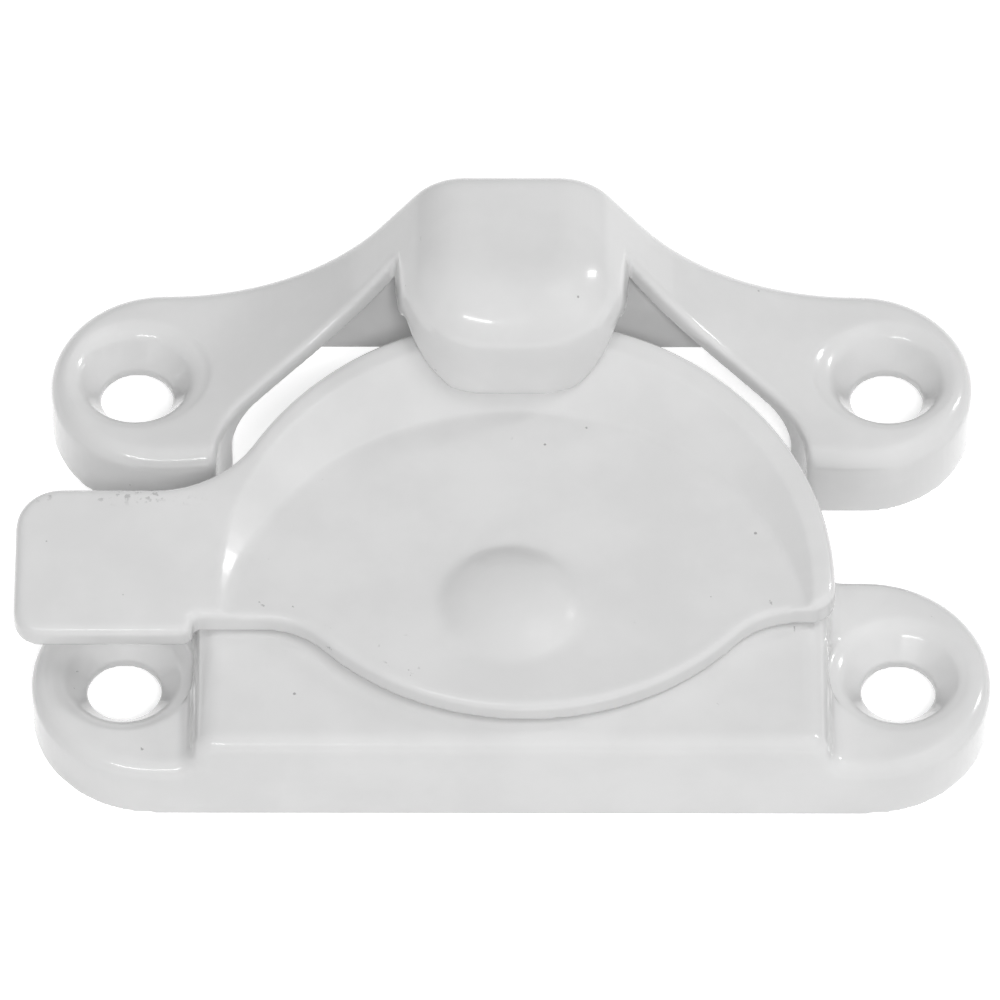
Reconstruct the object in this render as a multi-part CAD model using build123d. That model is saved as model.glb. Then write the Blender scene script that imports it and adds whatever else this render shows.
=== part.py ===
from build123d import *
import os
from math import cos, radians, tan

# Crescent-cam sash lock, closed. The base and its turning lever go on one sash,
# the hooked keeper goes on the other. Millimetres; +X right, +Y towards the keeper, +Z up.
# The origin is midway between the two screw holes of the base, on its underside.

# Base plate
BASE_LENGTH = 65.0
BASE_DEPTH = 16.8
BASE_EAR_TOP = 4.7
BLOCK_TOP = 7.55
BASE_EAR_LENGTH = 11.5
BLOCK_DRAFT = 0.8
BLOCK_END_ROUND = 2.0
BLOCK_FOOT_ROUND = 1.2
BASE_EDGE_ROUND = 1.2
BASE_WALL = 1.8
BASE_ROOF = 2.35
POCKET_ROUND = 0.6

# Screw holes and their dishes in the ears
BASE_HOLE_INSET = 6.25
KEEPER_HOLE_INSET = 5.9
HOLE_RADIUS = 2.5
HOLE_LAND = 0.6
DISH_RADIUS = 4.9
BASE_DISH_DEPTH = 2.0
KEEPER_DISH_DEPTH = 2.7
DISH_LIP_FALL = 0.35
DISH_LIP_WIDTH = 0.9
DISH_LIP_ROUND = 1.5
KEEPER_DISH_FLARE = 1.2

# Pivot: spindle of the lever, square washer and leaf spring under the base
PIVOT_Y = 2.4
SPINDLE_RADIUS = 3.0
SPINDLE_FIT = 0.05
BOSS_RADIUS = 4.1
BOSS_DEPTH = 0.8
CAM_SIDE = 6.0
CAM_CORNER = 1.2
CAM_THICKNESS = 2.0
CAM_GAP = 0.1
SHANK_SIDE = 3.8
SHANK_FIT = 0.03
PEEN_RADIUS = 2.8
PEEN_THICKNESS = 0.7
SPRING_LENGTH = 28.0
SPRING_THICKNESS = 0.5
SPRING_HEIGHT = 2.6
SPRING_GAP = 0.05
POST_LENGTH = 3.0
POST_DEPTH = 3.6
POST_HEIGHT = 3.4

# Lever: leaf-shaped floor, crescent rim, thumb tab and dome
RUNNING_GAP = 0.15
FLOOR_THICKNESS = 1.6
FLOOR_EDGE_ROUND = 0.5
RIM_RADIUS = 21.3
RIM_OFFSET_X = 0.6
RIM_OFFSET_Y = 1.6
RIM_RISE = 3.1
RIM_TIP_RISE = 0.3
RIM_EDGE_ROUND = 0.7
CREASE_ROUND = 0.8
LEAF_END_RIGHT = -0.55
LEAF_END_LEFT = -1.2
LEAF_TIP_ROUND = 1.8
BULGE_OFFSET_X = 1.0
BULGE_RADIUS_SHARE = 0.892
BULGE_REACH_SHARE = 0.413
BULGE_BLEND_SHARE = 0.26
RIM_LAND = 1.6
CREASE_OFFSET_X = 0.3
CREASE_OFFSET_Y = -3.0
RIM_LEAN_BACK = 56.0
RIM_LEAN_SIDE = 60.0
TAB_LENGTH = 12.1
TAB_ROOT_GAP = 0.2
TAB_FRONT = -2.5
TAB_BACK = 9.0
TAB_FRONT_CORNER = 2.0
TAB_BACK_CORNER = 3.0
TAB_STEP_ROUND = 0.75
TAB_STEP_HOLLOW = 0.5
TAB_SWEEP = 8.0
DOME_RADIUS = 4.9
DOME_RISE = 1.45
DOME_BLEND = 2.0

# Keeper: ears, straps, back wall and hooked nose
KEEPER_LENGTH = 63.8
KEEPER_DEPTH = 15.6
KEEPER_EAR_TOP = 5.5
KEEPER_WALL = 3.5
KEEPER_ROOF = 1.3
KEEPER_EDGE_ROUND = 1.5
CROWN_GAP = 4.5
CROWN_WIDTH = 11.0
CROWN_ROUND = 4.5
SHOULDER_ANGLE = 54.0
SHOULDER_SWEEP_SHARE = 0.285
THROAT_DEPTH = 4.6
WALL_RELIEF = 3.1
WALL_RELIEF_INSET = 4.3
EAR_LENGTH = 11.6
ARCH_GAP = 4.2
ARCH_DEPTH = 3.2
ARCH_CORNER = 6.5
ARCH_TOP_ROUND = 6.0
ARCH_EDGE_ROUND = 0.5
STRAP_END_WALL = 1.0
STRAP_POCKET_ROUND = 2.5
EAR_WALL = 1.8
NOSE_WIDTH = 17.6
NOSE_FLARE = 1.0
NOSE_CORNER_SHARE = 0.436
NOSE_TAPER = 8.0
NOSE_TIP_RISE = 1.3
NOSE_TIP_THICKNESS = 1.2
NOSE_BEND = 4.6
NOSE_GAP = 0.35

# Levels and places that follow from the sizes above
BLOCK_LENGTH = BASE_LENGTH - 2 * BASE_EAR_LENGTH
BASE_HOLE_SPACING = BASE_LENGTH - 2 * BASE_HOLE_INSET
LEVER_UNDERSIDE = BLOCK_TOP + RUNNING_GAP
FLOOR_TOP = LEVER_UNDERSIDE + FLOOR_THICKNESS
RIM_X = RIM_OFFSET_X
RIM_Y = PIVOT_Y + RIM_OFFSET_Y
RIM_BACK = RIM_Y + RIM_RADIUS
RIM_CREST = FLOOR_TOP + RIM_RISE
RIM_REACH = RIM_RADIUS + (RIM_OFFSET_X ** 2 + RIM_OFFSET_Y ** 2) ** 0.5
BULGE_RADIUS = BULGE_RADIUS_SHARE * RIM_RADIUS
BULGE_REACH = BULGE_REACH_SHARE * RIM_RADIUS
BULGE_BLEND = BULGE_BLEND_SHARE * RIM_RADIUS
CREASE_RADIUS = RIM_RADIUS - RIM_LAND
TAB_ROOT = RIM_RADIUS + TAB_ROOT_GAP
TAB_REACH = TAB_ROOT + TAB_LENGTH
LEAF_RIGHT = PIVOT_Y + LEAF_END_RIGHT
LEAF_LEFT = PIVOT_Y + LEAF_END_LEFT
CREASE_BACK = PIVOT_Y + CREASE_OFFSET_Y + CREASE_RADIUS
ARCH_RADIUS = RIM_REACH + ARCH_GAP
ARCH_WIDTH = KEEPER_LENGTH - 2 * EAR_LENGTH
SHOULDER_SWEEP = SHOULDER_SWEEP_SHARE * KEEPER_LENGTH
KEEPER_HOLE_SPACING = KEEPER_LENGTH - 2 * KEEPER_HOLE_INSET
NOSE_TIP_WIDTH = NOSE_WIDTH - 2 * NOSE_FLARE
NOSE_CORNER = NOSE_CORNER_SHARE * NOSE_TIP_WIDTH
KEEPER_TOP = RIM_CREST + CROWN_GAP + KEEPER_ROOF
KEEPER_WALL_FACE = RIM_BACK + THROAT_DEPTH
KEEPER_BACK = KEEPER_WALL_FACE + KEEPER_WALL
KEEPER_Y = KEEPER_BACK - KEEPER_DEPTH / 2
POCKET_TOP = BLOCK_TOP - BASE_ROOF
BOSS_BOTTOM = POCKET_TOP - BOSS_DEPTH
SPRING_Y = PIVOT_Y - CAM_SIDE / 2 - SPRING_GAP - SPRING_THICKNESS / 2
CAM_TOP = BOSS_BOTTOM - CAM_GAP
CAM_BOTTOM = CAM_TOP - CAM_THICKNESS
OVERSHOOT = 1.0


def corner(sketch, x, y):
    """The corner of a flat outline that lies nearest to a point."""
    return sketch.vertices().sort_by_distance((x, y, 0))[0]


def along_y(outline, front, back):
    """Extrude a front view, drawn as x and height, between two depths."""
    return extrude(Plane((0, back, 0), x_dir=(1, 0, 0), z_dir=(0, -1, 0)) * outline, back - front)


def outer_top_edges(solid):
    """The edges where the upright outer walls meet the top."""
    walls = solid.faces().filter_by(lambda face: abs(face.normal_at().Z) < 0.01)
    edges = walls.edges().filter_by(lambda edge: edge.center().Z > OVERSHOOT)
    return edges.filter_by(lambda edge: abs(edge.tangent_at(0.5).Z) < 0.995)


def edges_over(solid, plan):
    """The edges above the ground that stand over the outline of a plan, other than upright ones."""
    def stands_over(edge):
        middle = edge.position_at(0.5)
        beside = Vertex(middle.X, middle.Y, 0)
        level = abs(edge.tangent_at(0.5).Z) < 0.99
        return level and middle.Z > OVERSHOOT and min(side.distance_to(beside) for side in plan.edges()) < 0.01
    return solid.edges().filter_by(stands_over)


def screw_cut(ear_top, dish_depth, flare):
    """A screw hole with its dish, to be cut from an ear."""
    land_top = ear_top - dish_depth
    lip = (DISH_RADIUS - DISH_LIP_WIDTH, ear_top - DISH_LIP_FALL)
    outline = make_face(Polyline(
        (0, -OVERSHOOT), (HOLE_RADIUS, -OVERSHOOT), (HOLE_RADIUS, land_top), lip,
        (DISH_RADIUS, ear_top), (DISH_RADIUS + flare, ear_top + OVERSHOOT), (0, ear_top + OVERSHOOT),
        close=True))
    outline = fillet(corner(outline, *lip), DISH_LIP_ROUND)
    return revolve(Plane.XZ * outline, Axis.Z)


def base_outline(ear_top, block_top, block_length, end_round, foot_round):
    """Front view of the base: two low ears with the raised block between them."""
    half = block_length / 2
    foot = half + BLOCK_DRAFT
    right = BASE_LENGTH / 2
    outline = make_face(Polyline(
        (-right, -OVERSHOOT), (right, -OVERSHOOT), (right, ear_top), (foot, ear_top), (half, block_top),
        (-half, block_top), (-foot, ear_top), (-right, ear_top), close=True))
    for side in (-1, 1):
        outline = fillet(corner(outline, side * half, block_top), end_round)
        outline = fillet(corner(outline, side * foot, ear_top), foot_round)
    return outline


def make_base_plate():
    """The base casting, hollow underneath, with the spindle bore and the posts for the spring."""
    half_depth = BASE_DEPTH / 2
    outside = base_outline(BASE_EAR_TOP, BLOCK_TOP, BLOCK_LENGTH, BLOCK_END_ROUND, BLOCK_FOOT_ROUND)
    plate = along_y(outside, -half_depth, half_depth)
    plate &= extrude(SlotOverall(BASE_LENGTH, BASE_DEPTH), BLOCK_TOP + OVERSHOOT)
    plate = fillet(outer_top_edges(plate), BASE_EDGE_ROUND)
    land_bottom = BASE_EAR_TOP - BASE_DISH_DEPTH - HOLE_LAND
    pocket_length = BLOCK_LENGTH - 2 * BASE_WALL
    inside = base_outline(land_bottom, POCKET_TOP, pocket_length, POCKET_ROUND, POCKET_ROUND)
    pocket = along_y(inside, -half_depth, half_depth)
    pocket &= Pos(0, 0, -OVERSHOOT) * extrude(
        SlotOverall(BASE_LENGTH - 2 * BASE_WALL, BASE_DEPTH - 2 * BASE_WALL), BLOCK_TOP)
    plate -= pocket
    plate += Pos(0, PIVOT_Y, BOSS_BOTTOM) * extrude(Circle(BOSS_RADIUS), BLOCK_TOP - OVERSHOOT - BOSS_BOTTOM)
    for side in (-1, 1):
        post_x = side * (SPRING_LENGTH - POST_LENGTH) / 2
        post = extrude(Rectangle(POST_LENGTH, POST_DEPTH), -POST_HEIGHT)
        post -= extrude(Rectangle(POST_LENGTH, SPRING_THICKNESS + 2 * SPRING_GAP), -POST_HEIGHT)
        plate += Pos(post_x, SPRING_Y, POCKET_TOP) * post
        plate -= Pos(side * BASE_HOLE_SPACING / 2, 0, 0) * screw_cut(BASE_EAR_TOP, BASE_DISH_DEPTH, 0)
    plate -= Pos(0, PIVOT_Y, 0) * extrude(Circle(SPINDLE_RADIUS + SPINDLE_FIT), BLOCK_TOP + OVERSHOOT)
    return plate


def rim_outline():
    """Plan of the crescent, with its straight front ends and the tab to the left."""
    far = TAB_REACH + RIM_RADIUS
    tab_front = PIVOT_Y + TAB_FRONT
    tab_back = PIVOT_Y + TAB_BACK
    outline = Pos(BULGE_OFFSET_X, LEAF_RIGHT) * Rectangle(far, far, align=(Align.MIN, Align.MIN))
    outline += Pos(BULGE_OFFSET_X, LEAF_LEFT) * Rectangle(far, far, align=(Align.MAX, Align.MIN))
    outline &= Pos(RIM_X, RIM_Y) * Circle(RIM_RADIUS)
    outline += Pos(-TAB_REACH, tab_front) * Rectangle(
        TAB_REACH - TAB_ROOT, tab_back - tab_front, align=(Align.MIN, Align.MIN))
    outline += Pos(-TAB_ROOT, LEAF_LEFT) * Rectangle(
        RIM_RADIUS, tab_back - LEAF_LEFT, align=(Align.MIN, Align.MIN))
    sweep_x = RIM_X - (RIM_RADIUS ** 2 - (tab_back - RIM_Y) ** 2) ** 0.5
    for x, y, radius in (
            (RIM_X + RIM_RADIUS, LEAF_RIGHT, LEAF_TIP_ROUND),
            (sweep_x, tab_back, TAB_SWEEP),
            (-TAB_REACH, tab_back, TAB_BACK_CORNER),
            (-TAB_REACH, tab_front, TAB_FRONT_CORNER),
            (-TAB_ROOT, tab_front, TAB_STEP_ROUND),
            (-TAB_ROOT, LEAF_LEFT, TAB_STEP_HOLLOW)):
        outline = fillet(corner(outline, x, y), radius)
    return outline


def lever_outline():
    """Plan of the whole lever: the crescent with the bulged leaf at its front."""
    bulge_y = PIVOT_Y - BULGE_REACH + BULGE_RADIUS
    bulge = Pos(BULGE_OFFSET_X, bulge_y) * Circle(BULGE_RADIUS)
    bulge &= Pos(BULGE_OFFSET_X, PIVOT_Y) * Rectangle(
        2 * BULGE_RADIUS, BULGE_RADIUS, align=(Align.CENTER, Align.MAX))
    outline = rim_outline() + bulge
    for side, end in ((1, LEAF_RIGHT), (-1, LEAF_LEFT)):
        half = (BULGE_RADIUS ** 2 - (bulge_y - end) ** 2) ** 0.5
        outline = fillet(corner(outline, BULGE_OFFSET_X + side * half, end), BULGE_BLEND)
    return outline


def dish_space(inset, rise):
    """The room inside the crescent rim, from the lever's floor up, less a clearance all round."""
    growth = rise * tan(radians(RIM_LEAN_SIDE))
    shift = rise * tan(radians(RIM_LEAN_BACK)) - growth
    centre_y = PIVOT_Y + CREASE_OFFSET_Y
    crease = Pos(CREASE_OFFSET_X, centre_y, FLOOR_TOP) * Circle(CREASE_RADIUS - inset)
    mouth = Pos(CREASE_OFFSET_X, centre_y + shift, FLOOR_TOP + rise) * Circle(CREASE_RADIUS + growth - inset)
    return loft([crease, mouth])


def make_lever():
    """The lever casting with its dome and spindle."""
    floor = extrude(Pos(0, 0, LEVER_UNDERSIDE) * lever_outline(), FLOOR_THICKNESS)
    floor = fillet(floor.faces().sort_by(Axis.Z)[-1].edges(), FLOOR_EDGE_ROUND)

    # Rim and tab: the crescent cut by one sloping plane, then opened to the dish
    crest_slope = (RIM_RISE - RIM_TIP_RISE) / (RIM_BACK - LEAF_RIGHT)
    crest = Plane((0, RIM_BACK, RIM_CREST), x_dir=(1, 0, 0), z_dir=(0, -crest_slope, 1))
    everything = 4 * (TAB_REACH + RIM_RADIUS)
    rim = extrude(Pos(0, 0, LEVER_UNDERSIDE) * rim_outline(), FLOOR_THICKNESS + RIM_RISE + OVERSHOOT)
    rim &= extrude(crest * Rectangle(everything, everything), -everything)
    rim = fillet(rim.faces().sort_by(Axis.Z)[-1].edges(), RIM_EDGE_ROUND)
    dish = dish_space(0, RIM_RISE + OVERSHOOT)
    rim -= fillet(dish.faces().sort_by(Axis.Z)[0].edges(), CREASE_ROUND)
    rim -= Pos(CREASE_OFFSET_X, PIVOT_Y + CREASE_OFFSET_Y, 0) * extrude(
        Circle(CREASE_RADIUS - CREASE_ROUND), FLOOR_TOP)
    lever = floor + rim
    dome_ball = (DOME_RADIUS ** 2 + DOME_RISE ** 2) / (2 * DOME_RISE)
    dome = Pos(0, PIVOT_Y, FLOOR_TOP + DOME_RISE - dome_ball) * Sphere(dome_ball)
    dome &= Pos(0, PIVOT_Y, FLOOR_TOP - FLOOR_THICKNESS / 2) * extrude(Circle(2 * dome_ball), dome_ball)
    lever += dome
    dome_foot = lever.edges().filter_by(GeomType.CIRCLE).filter_by(
        lambda edge: abs(edge.radius - DOME_RADIUS) < 0.01 and abs(edge.center().Z - FLOOR_TOP) < 0.01)
    lever = fillet(dome_foot, DOME_BLEND)
    lever += Pos(0, PIVOT_Y, CAM_TOP) * extrude(Circle(SPINDLE_RADIUS), FLOOR_TOP - CAM_TOP)
    lever += Pos(0, PIVOT_Y, CAM_BOTTOM) * extrude(Rectangle(SHANK_SIDE, SHANK_SIDE), CAM_THICKNESS)
    lever += Pos(0, PIVOT_Y, CAM_BOTTOM - PEEN_THICKNESS) * extrude(Circle(PEEN_RADIUS), PEEN_THICKNESS)
    return lever


def make_detent_cam():
    """The square washer staked on the spindle."""
    hole = SHANK_SIDE + 2 * SHANK_FIT
    washer = RectangleRounded(CAM_SIDE, CAM_SIDE, CAM_CORNER) - Rectangle(hole, hole)
    return Pos(0, PIVOT_Y, CAM_BOTTOM) * extrude(washer, CAM_THICKNESS)


def make_detent_spring():
    """The flat leaf that bears on the front of the square washer."""
    middle_z = BOSS_BOTTOM - SPRING_GAP - SPRING_HEIGHT / 2
    return Pos(0, SPRING_Y, middle_z) * Box(SPRING_LENGTH, SPRING_THICKNESS, SPRING_HEIGHT)


def keeper_outline():
    """Front view of the keeper: a bell-shaped crown that sweeps down to the ears."""
    right = KEEPER_LENGTH / 2
    half_crown = CROWN_WIDTH / 2
    foot = half_crown + (KEEPER_TOP - KEEPER_EAR_TOP) / tan(radians(SHOULDER_ANGLE))
    outline = make_face(Polyline(
        (-right, 0), (right, 0), (right, KEEPER_EAR_TOP), (foot, KEEPER_EAR_TOP), (half_crown, KEEPER_TOP),
        (-half_crown, KEEPER_TOP), (-foot, KEEPER_EAR_TOP), (-right, KEEPER_EAR_TOP), close=True))
    for side in (-1, 1):
        outline = fillet(corner(outline, side * half_crown, KEEPER_TOP), CROWN_ROUND)
        outline = fillet(corner(outline, side * foot, KEEPER_EAR_TOP), SHOULDER_SWEEP)
    return outline


def arch_plan():
    """Plan of the arch between the ears: round the pivot at the back, straight at the sides."""
    half = ARCH_WIDTH / 2
    back = RIM_BACK + ARCH_DEPTH
    arch = Pos(0, PIVOT_Y) * Circle(ARCH_RADIUS)
    arch &= Rectangle(ARCH_WIDTH, 2 * back)
    side_y = PIVOT_Y + (ARCH_RADIUS ** 2 - half ** 2) ** 0.5
    back_x = (ARCH_RADIUS ** 2 - (back - PIVOT_Y) ** 2) ** 0.5
    for side in (-1, 1):
        arch = fillet(corner(arch, side * half, side_y), ARCH_CORNER)
        arch = fillet(corner(arch, side * back_x, back), ARCH_TOP_ROUND)
    return arch


def make_keeper():
    """The keeper casting: ears, straps, back wall and nose."""
    outline = keeper_outline()
    arch = arch_plan()
    keeper = along_y(outline, KEEPER_BACK - KEEPER_DEPTH, KEEPER_BACK)
    keeper &= Pos(0, KEEPER_Y, 0) * extrude(SlotOverall(KEEPER_LENGTH, KEEPER_DEPTH), KEEPER_TOP + OVERSHOOT)
    keeper = fillet(outer_top_edges(keeper), KEEPER_EDGE_ROUND)
    keeper -= Pos(0, 0, -OVERSHOOT) * extrude(arch, KEEPER_TOP + 3 * OVERSHOOT)
    keeper = fillet(edges_over(keeper, arch), ARCH_EDGE_ROUND)

    # Nose: the crown carried forward over the rim and rounded off
    nose_inset = NOSE_GAP / cos(radians(RIM_LEAN_BACK))
    tip_z = FLOOR_TOP + NOSE_TIP_RISE
    tip_rear = CREASE_BACK + NOSE_TIP_RISE * tan(radians(RIM_LEAN_BACK)) - nose_inset
    tip_front = tip_rear - NOSE_TIP_THICKNESS
    nose_plan = make_face(Polyline(
        (-NOSE_TIP_WIDTH / 2, tip_front), (NOSE_TIP_WIDTH / 2, tip_front), (NOSE_WIDTH / 2, KEEPER_BACK),
        (-NOSE_WIDTH / 2, KEEPER_BACK), close=True))
    for side in (-1, 1):
        nose_plan = fillet(corner(nose_plan, side * NOSE_TIP_WIDTH / 2, tip_front), NOSE_CORNER)
    nose = Pos(0, 0, tip_z) * extrude(nose_plan, KEEPER_TOP - tip_z, taper=NOSE_TAPER)
    nose_rim = nose.faces().sort_by(Axis.Z)[-1].edges().filter_by(
        lambda edge: edge.center().Y < KEEPER_WALL_FACE)
    nose = fillet(nose_rim, NOSE_BEND)
    keeper += nose & along_y(outline, tip_front - OVERSHOOT, KEEPER_WALL_FACE)

    # Hollow under the crown and straps, and the way of the rim under the nose
    under = offset(outline, -KEEPER_ROOF)
    under += Rectangle(KEEPER_LENGTH, KEEPER_EAR_TOP)
    pocket_width = ARCH_WIDTH - 2 * STRAP_END_WALL
    under &= Rectangle(pocket_width, 4 * KEEPER_TOP)
    for side in (-1, 1):
        under = fillet(corner(under, side * pocket_width / 2, KEEPER_EAR_TOP), STRAP_POCKET_ROUND)
    hollow = along_y(under, tip_front - OVERSHOOT, KEEPER_WALL_FACE)
    hollow += Pos(0, 0, -OVERSHOOT) * extrude(arch, RIM_CREST + NOSE_GAP + OVERSHOOT)
    tip_space = dish_space(nose_inset, KEEPER_TOP - FLOOR_TOP)
    tip_space &= Pos(0, 0, tip_z) * extrude(Circle(2 * KEEPER_LENGTH), KEEPER_TOP)
    keeper -= hollow - tip_space
    relief = ARCH_WIDTH - 2 * WALL_RELIEF_INSET
    keeper -= Pos(0, KEEPER_BACK, 0) * Box(relief, 2 * KEEPER_DEPTH, 2 * WALL_RELIEF)

    # Ears: pockets underneath and the screw holes
    pocket = Pos(0, KEEPER_Y) * SlotOverall(KEEPER_LENGTH - 2 * EAR_WALL, KEEPER_DEPTH - 2 * EAR_WALL)
    pocket -= Rectangle(ARCH_WIDTH + 2 * EAR_WALL, 4 * KEEPER_BACK)
    keeper -= Pos(0, 0, -OVERSHOOT) * extrude(
        pocket, KEEPER_EAR_TOP - KEEPER_DISH_DEPTH - HOLE_LAND + OVERSHOOT)
    for side in (-1, 1):
        hole = Pos(side * KEEPER_HOLE_SPACING / 2, KEEPER_Y, 0)
        keeper -= hole * screw_cut(KEEPER_EAR_TOP, KEEPER_DISH_DEPTH, KEEPER_DISH_FLARE)
    return keeper


PARTS = {
    "base_plate": make_base_plate,
    "lever": make_lever,
    "keeper": make_keeper,
    "detent_cam": make_detent_cam,
    "detent_spring": make_detent_spring,
}

os.makedirs("parts", exist_ok=True)
for name, make in PARTS.items():
    export_step(make(), f"parts/{name}.step")
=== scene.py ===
import math

import bpy
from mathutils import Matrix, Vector


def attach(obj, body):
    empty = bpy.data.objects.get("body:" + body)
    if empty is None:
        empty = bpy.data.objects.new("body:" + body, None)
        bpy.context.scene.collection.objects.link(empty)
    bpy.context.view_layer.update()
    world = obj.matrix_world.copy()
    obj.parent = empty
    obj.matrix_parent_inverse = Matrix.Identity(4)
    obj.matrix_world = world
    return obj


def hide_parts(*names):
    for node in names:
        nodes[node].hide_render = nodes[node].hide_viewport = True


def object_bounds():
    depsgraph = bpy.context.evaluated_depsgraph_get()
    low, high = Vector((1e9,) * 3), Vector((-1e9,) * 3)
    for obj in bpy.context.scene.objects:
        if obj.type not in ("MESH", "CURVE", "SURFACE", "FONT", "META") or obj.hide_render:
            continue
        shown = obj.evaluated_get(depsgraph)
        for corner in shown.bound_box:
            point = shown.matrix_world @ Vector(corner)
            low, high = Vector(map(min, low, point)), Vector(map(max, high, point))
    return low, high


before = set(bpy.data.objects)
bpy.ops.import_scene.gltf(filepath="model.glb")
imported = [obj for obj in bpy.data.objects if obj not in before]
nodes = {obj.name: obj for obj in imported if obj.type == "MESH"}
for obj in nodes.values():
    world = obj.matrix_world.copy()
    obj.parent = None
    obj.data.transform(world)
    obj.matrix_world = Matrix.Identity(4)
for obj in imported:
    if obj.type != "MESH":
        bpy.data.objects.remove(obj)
cad_low, cad_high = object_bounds()
scene = bpy.context.scene
scene.view_settings.view_transform = "Standard"

# Camera: from the front and above, far off, with the object's origin low in the picture
VIEW_DISTANCE = 0.7
VIEW_ELEVATION = math.radians(52.24)
IMAGE_SIZE = 1000.0
FOCAL_PIXELS = 10286.5
ORIGIN_PIXEL = (511.5, 715.46)
SENSOR = 36.0
NEAR_LIMIT = 0.05
FAR_LIMIT = 20.0

# Castings: cell of the fine mesh in metres, its smoothing, and the triangles kept of it
VOXEL = 0.00014
SMOOTHING = 0.5
SOFT_STEPS = 9
TRIANGLES_KEPT = 170000

# Keeper's nose: further smoothing, none at the first limit and full at the second, in metres
NOSE_STEPS = 110
NOSE_Y = (0.0265, 0.0235)
NOSE_X = (0.0115, 0.0095)

# Paint: its colours, and the scale of each texture, in cells to a metre
PAINT_DULL = (0.745, 0.745, 0.745, 1)
PAINT_CLEAN = (0.795, 0.795, 0.795, 1)
PAINT_WORN = (0.2, 0.2, 0.2, 1)
SMUDGE_SCALE = 140.0
PIT_SCALE = 420.0
GRAIN_SCALE = 1900.0
PATCH_SCALE = 260.0
SHINE_SCALE = 420.0
PEEL_SCALE = 520.0

# Scuffs on the back edge of the thumb tab: none at the first limit and full at the second, in metres
SCUFF_X = (-0.0195, -0.023)
SCUFF_Y = (0.0094, 0.0106)
SCUFF_Z = (0.0085, 0.0095)

# Steel: its colours, and the cells of its rolling lines to a metre along and across
STEEL_DARK = (0.46, 0.46, 0.47, 1)
STEEL_LIGHT = (0.62, 0.62, 0.62, 1)
ROLLING_SCALE = (150.0, 3000.0, 3000.0)

# Floor: its colour, half its width and its gap below the object in metres, and what it adds where it is seen
FLOOR_COLOUR = (0.8, 0.8, 0.8, 1)
FLOOR_HALF = 3.0
FLOOR_GAP = 0.0001
FLOOR_LIFT = 0.66

# Light: what the room gives, its colour, and the point that the lamps face
ROOM_LIGHT = 0.27
WHITE = (1, 1, 1, 1)
LAMP_AIM = (0, 0.012, 0.006)


def make_material(name):
    material = bpy.data.materials.new(name)
    material.use_nodes = True
    tree = material.node_tree
    shader = tree.nodes["Principled BSDF"]
    return material, tree, shader


def node(tree, kind, **values):
    """A new node, with values for its inputs or its settings."""
    made = tree.nodes.new(kind)
    for key, value in values.items():
        if key in made.inputs.keys():
            made.inputs[key].default_value = value
        else:
            setattr(made, key, value)
    return made


def texture(tree, kind, place, **values):
    """A texture node that is read at a place."""
    made = node(tree, kind, **values)
    tree.links.new(place, made.inputs["Vector"])
    return made


def ramp(tree, source, low, high, low_value=0.0, high_value=1.0):
    """A smooth step of a value between two limits."""
    made = tree.nodes.new("ShaderNodeMapRange")
    made.interpolation_type = "SMOOTHSTEP"
    made.inputs["From Min"].default_value = low
    made.inputs["From Max"].default_value = high
    made.inputs["To Min"].default_value = low_value
    made.inputs["To Max"].default_value = high_value
    tree.links.new(source, made.inputs["Value"])
    return made.outputs["Result"]


def combine(tree, operation, values):
    """Several values taken together two by two, such as their product or the largest of them."""
    result = values[0]
    for value in values[1:]:
        made = node(tree, "ShaderNodeMath", operation=operation)
        tree.links.new(result, made.inputs[0])
        tree.links.new(value, made.inputs[1])
        result = made.outputs[0]
    return result


def object_place(tree):
    return tree.nodes.new("ShaderNodeTexCoord").outputs["Object"]


def pits_in_paint(tree, place):
    """A tiny round pit in a few of many cells."""
    cells = texture(tree, "ShaderNodeTexVoronoi", place, Scale=PIT_SCALE)
    pick = tree.nodes.new("ShaderNodeSeparateColor")
    tree.links.new(cells.outputs["Color"], pick.inputs["Color"])
    rare = ramp(tree, pick.outputs["Red"], 0.74, 0.76)
    spot = ramp(tree, cells.outputs["Distance"], 0.03, 0.06, 1.0, 0.0)
    return combine(tree, "MULTIPLY", (rare, spot))


def wear_of_paint(tree, place):
    """Chips on sharp edges, and scuffs on the back edge of the thumb tab."""
    fine = texture(tree, "ShaderNodeTexNoise", place, Scale=GRAIN_SCALE, Detail=3.0, Roughness=0.6)
    grain = fine.outputs["Fac"]
    coarse = texture(tree, "ShaderNodeTexNoise", place, Scale=PATCH_SCALE, Detail=2.0)
    patch = coarse.outputs["Fac"]
    pointed = tree.nodes.new("ShaderNodeNewGeometry").outputs["Pointiness"]
    chips = combine(tree, "MULTIPLY", (ramp(tree, pointed, 0.56, 0.60),
                                       ramp(tree, grain, 0.58, 0.66),
                                       ramp(tree, patch, 0.55, 0.68)))
    parts = tree.nodes.new("ShaderNodeSeparateXYZ")
    tree.links.new(place, parts.inputs["Vector"])
    scuffs = combine(tree, "MULTIPLY", (ramp(tree, parts.outputs["X"], *SCUFF_X),
                                        ramp(tree, parts.outputs["Y"], *SCUFF_Y),
                                        ramp(tree, parts.outputs["Z"], *SCUFF_Z),
                                        ramp(tree, grain, 0.52, 0.62, 0.0, 0.6),
                                        ramp(tree, patch, 0.40, 0.52)))
    return chips, scuffs


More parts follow.
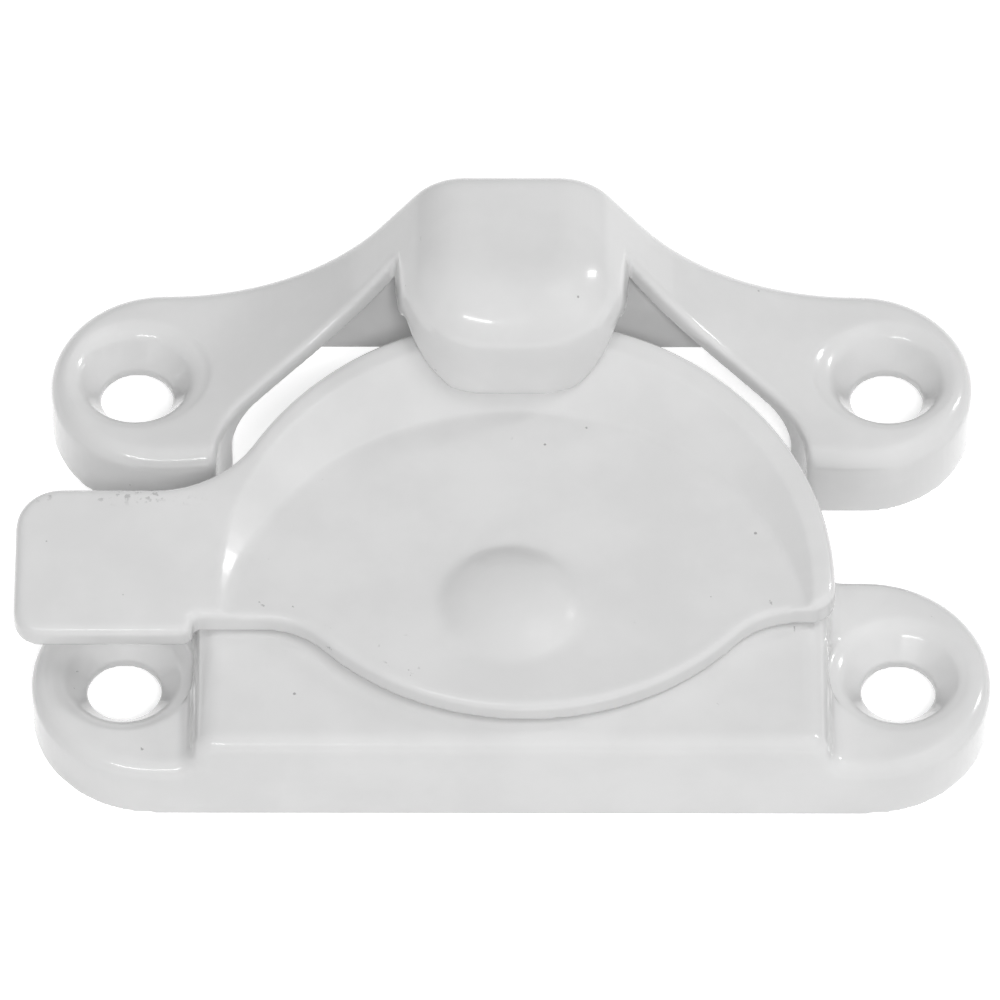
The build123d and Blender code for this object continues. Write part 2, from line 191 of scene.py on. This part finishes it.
def gloss_paint(name):
    """White gloss paint: a slight ripple, faint smudges, pits, chips and scuffs."""
    material, tree, shader = make_material(name)
    links = tree.links
    place = object_place(tree)

    smudge = texture(tree, "ShaderNodeTexNoise", place, Scale=SMUDGE_SCALE, Detail=4.0, Roughness=0.55)
    tint = node(tree, "ShaderNodeMix", data_type="RGBA", A=PAINT_DULL, B=PAINT_CLEAN)
    links.new(ramp(tree, smudge.outputs["Fac"], 0.3, 0.7), tint.inputs["Factor"])

    mark = combine(tree, "MAXIMUM", (pits_in_paint(tree, place), *wear_of_paint(tree, place)))
    worn = node(tree, "ShaderNodeMix", data_type="RGBA", B=PAINT_WORN)
    links.new(tint.outputs["Result"], worn.inputs["A"])
    links.new(ramp(tree, mark, 0.0, 1.0, 0.0, 0.65), worn.inputs["Factor"])
    links.new(worn.outputs["Result"], shader.inputs["Base Color"])

    shine = texture(tree, "ShaderNodeTexNoise", place, Scale=SHINE_SCALE, Detail=3.0)
    links.new(ramp(tree, shine.outputs["Fac"], 0.3, 0.7, 0.17, 0.24), shader.inputs["Roughness"])
    shader.inputs["Coat Weight"].default_value = 0.6
    shader.inputs["Coat Roughness"].default_value = 0.05

    peel = texture(tree, "ShaderNodeTexNoise", place, Scale=PEEL_SCALE, Detail=2.0, Roughness=0.4)
    ripple = node(tree, "ShaderNodeBump", Strength=0.12, Distance=0.00004)
    links.new(peel.outputs["Fac"], ripple.inputs["Height"])
    dent = node(tree, "ShaderNodeBump", Strength=0.5, Distance=0.00005, invert=True)
    links.new(mark, dent.inputs["Height"])
    links.new(ripple.outputs["Normal"], dent.inputs["Normal"])
    links.new(dent.outputs["Normal"], shader.inputs["Normal"])
    return material


def plated_steel(name):
    """Zinc-plated steel of the washer and the spring under the base, with fine rolling lines."""
    material, tree, shader = make_material(name)
    links = tree.links
    stretch = texture(tree, "ShaderNodeMapping", object_place(tree), Scale=ROLLING_SCALE)
    lines = texture(tree, "ShaderNodeTexNoise", stretch.outputs["Vector"], Scale=1.0, Detail=3.0)
    tone = node(tree, "ShaderNodeMix", data_type="RGBA", A=STEEL_DARK, B=STEEL_LIGHT)
    links.new(lines.outputs["Fac"], tone.inputs["Factor"])
    links.new(tone.outputs["Result"], shader.inputs["Base Color"])
    links.new(ramp(tree, lines.outputs["Fac"], 0.3, 0.7, 0.28, 0.42), shader.inputs["Roughness"])
    shader.inputs["Metallic"].default_value = 1.0
    scratch = node(tree, "ShaderNodeBump", Strength=0.15, Distance=0.00002)
    links.new(lines.outputs["Fac"], scratch.inputs["Height"])
    links.new(scratch.outputs["Normal"], shader.inputs["Normal"])
    return material


def shaped_by_modifiers(piece):
    """The mesh of an object after its modifiers, put in place of the mesh it had."""
    bpy.context.view_layer.update()
    shaped = bpy.data.meshes.new_from_object(piece.evaluated_get(bpy.context.evaluated_depsgraph_get()))
    piece.modifiers.clear()
    piece.data = shaped
    shaped.name = piece.name
    return shaped


def smooth(piece, steps):
    """A modifier that rounds a mesh off, more so with more steps."""
    soft = piece.modifiers.new("soft", "SMOOTH")
    soft.factor = SMOOTHING
    soft.iterations = steps
    return soft


def fade(value, none, full):
    """Nought at one limit, one at the other, straight between them."""
    return min(1.0, max(0.0, (value - none) / (full - none)))


def round_nose(piece):
    """More rounding on the front of the keeper's nose, fading out towards its crown and straps."""
    group = piece.vertex_groups.new(name="nose")
    for vertex in piece.data.vertices:
        weight = fade(vertex.co.y, *NOSE_Y) * fade(abs(vertex.co.x), *NOSE_X)
        if weight > 0:
            group.add([vertex.index], weight, "REPLACE")
    smooth(piece, NOSE_STEPS).vertex_group = group.name
    shaped_by_modifiers(piece)
    piece.vertex_groups.clear()


def soften(name, body):
    """A copy of a casting whose edges are rounded as by its coat of paint."""
    piece = bpy.data.objects.new(name + "_casting", nodes[name].data.copy())
    scene.collection.objects.link(piece)
    remesh = piece.modifiers.new("even", "REMESH")
    remesh.mode = "VOXEL"
    remesh.voxel_size = VOXEL
    smooth(piece, SOFT_STEPS)
    shaped_by_modifiers(piece)
    if name == "keeper":
        round_nose(piece)
    dense = piece.data
    dense.calc_loop_triangles()
    thin = piece.modifiers.new("thin", "DECIMATE")
    thin.ratio = min(1.0, TRIANGLES_KEPT / len(dense.loop_triangles))
    shaped = shaped_by_modifiers(piece)
    for polygon in shaped.polygons:
        polygon.use_smooth = True
    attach(piece, body)
    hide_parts(name)
    return piece


def seen_directly(tree):
    """One where the camera, a mirror or glass sees a surface, and nought for the light that falls on it."""
    path = tree.nodes.new("ShaderNodeLightPath")
    kinds = ("Is Camera Ray", "Is Glossy Ray", "Is Transmission Ray")
    return combine(tree, "MAXIMUM", [path.outputs[kind] for kind in kinds])


def pale_floor(name):
    """Pale grey to the light that falls on it, and lifted evenly where it is seen, so a faint shadow stays."""
    material, tree, shader = make_material(name)
    shader.inputs["Base Color"].default_value = FLOOR_COLOUR
    shader.inputs["Roughness"].default_value = 0.8
    shader.inputs["Emission Color"].default_value = WHITE
    lift = node(tree, "ShaderNodeMath", operation="MULTIPLY")
    lift.inputs[1].default_value = FLOOR_LIFT
    tree.links.new(seen_directly(tree), lift.inputs[0])
    tree.links.new(lift.outputs[0], shader.inputs["Emission Strength"])
    return material


def make_floor():
    mesh = bpy.data.meshes.new("floor")
    corners = [(x * FLOOR_HALF, y * FLOOR_HALF, 0) for x, y in ((-1, -1), (1, -1), (1, 1), (-1, 1))]
    mesh.from_pydata(corners, [], [(0, 1, 2, 3)])
    mesh.materials.append(pale_floor("pale_floor"))
    floor = bpy.data.objects.new("floor", mesh)
    floor.location.z = cad_low.z - FLOOR_GAP
    scene.collection.objects.link(floor)


def make_room():
    """An even pale room, white where it is seen."""
    world = bpy.data.worlds.new("studio")
    scene.world = world
    world.use_nodes = True
    tree = world.node_tree
    room = tree.nodes["Background"]
    room.inputs["Color"].default_value = WHITE
    room.inputs["Strength"].default_value = ROOM_LIGHT
    backdrop = node(tree, "ShaderNodeBackground", Color=WHITE, Strength=1.0)
    choice = tree.nodes.new("ShaderNodeMixShader")
    tree.links.new(seen_directly(tree), choice.inputs["Fac"])
    tree.links.new(room.outputs["Background"], choice.inputs[1])
    tree.links.new(backdrop.outputs["Background"], choice.inputs[2])
    tree.links.new(choice.outputs["Shader"], tree.nodes["World Output"].inputs["Surface"])


def soft_box(name, place, width, depth, power, mirrored=True):
    """A lamp that faces the object, seen in the gloss or not."""
    lamp = bpy.data.lights.new(name, "AREA")
    lamp.shape = "RECTANGLE"
    lamp.size = width
    lamp.size_y = depth
    lamp.energy = power
    box = bpy.data.objects.new(name, lamp)
    box.location = place
    aim = Vector(LAMP_AIM) - Vector(place)
    box.rotation_mode = "QUATERNION"
    box.rotation_quaternion = aim.to_track_quat("-Z", "Y")
    box.visible_glossy = mirrored
    scene.collection.objects.link(box)


def make_camera():
    forward = Vector((0, math.cos(VIEW_ELEVATION), -math.sin(VIEW_ELEVATION)))
    up = Vector((0, math.sin(VIEW_ELEVATION), math.cos(VIEW_ELEVATION)))
    across = (IMAGE_SIZE / 2 - ORIGIN_PIXEL[0]) / FOCAL_PIXELS
    above = (ORIGIN_PIXEL[1] - IMAGE_SIZE / 2) / FOCAL_PIXELS
    camera = bpy.data.objects.new("camera", bpy.data.cameras.new("camera"))
    camera.data.sensor_width = SENSOR
    camera.data.lens = FOCAL_PIXELS / IMAGE_SIZE * SENSOR
    camera.data.clip_start = NEAR_LIMIT
    camera.data.clip_end = FAR_LIMIT
    camera.location = -VIEW_DISTANCE * forward
    camera.rotation_mode = "QUATERNION"
    camera.rotation_quaternion = (forward + across * Vector((1, 0, 0)) + above * up).to_track_quat("-Z", "Y")
    scene.collection.objects.link(camera)
    scene.camera = camera


# The three castings, and the two steel pieces as they are
paint = gloss_paint("white_gloss_paint")
steel = plated_steel("plated_steel")
for part, body in (("base_plate", "frame"), ("lever", "turning_lever"), ("keeper", "frame")):
    casting = soften(part, body)
    casting.data.materials.clear()
    casting.data.materials.append(paint)
for part in ("detent_cam", "detent_spring"):
    for slot in nodes[part].material_slots:
        slot.material = steel

# The studio: two fills that the gloss doesn't show, and two boxes for the streaks on it
make_floor()
make_room()
soft_box("front_fill", (0.06, -0.575, 0.685), 0.12, 0.12, 3.1, mirrored=False)
soft_box("top_fill", (0.36, 0.02, 0.85), 0.35, 0.35, 1.4, mirrored=False)
soft_box("left_box", (-0.24, -0.58, 0.5), 0.42, 0.045, 0.7)
soft_box("right_box", (0.62, 0.31, 0.4), 0.08, 0.17, 0.7)
make_camera()
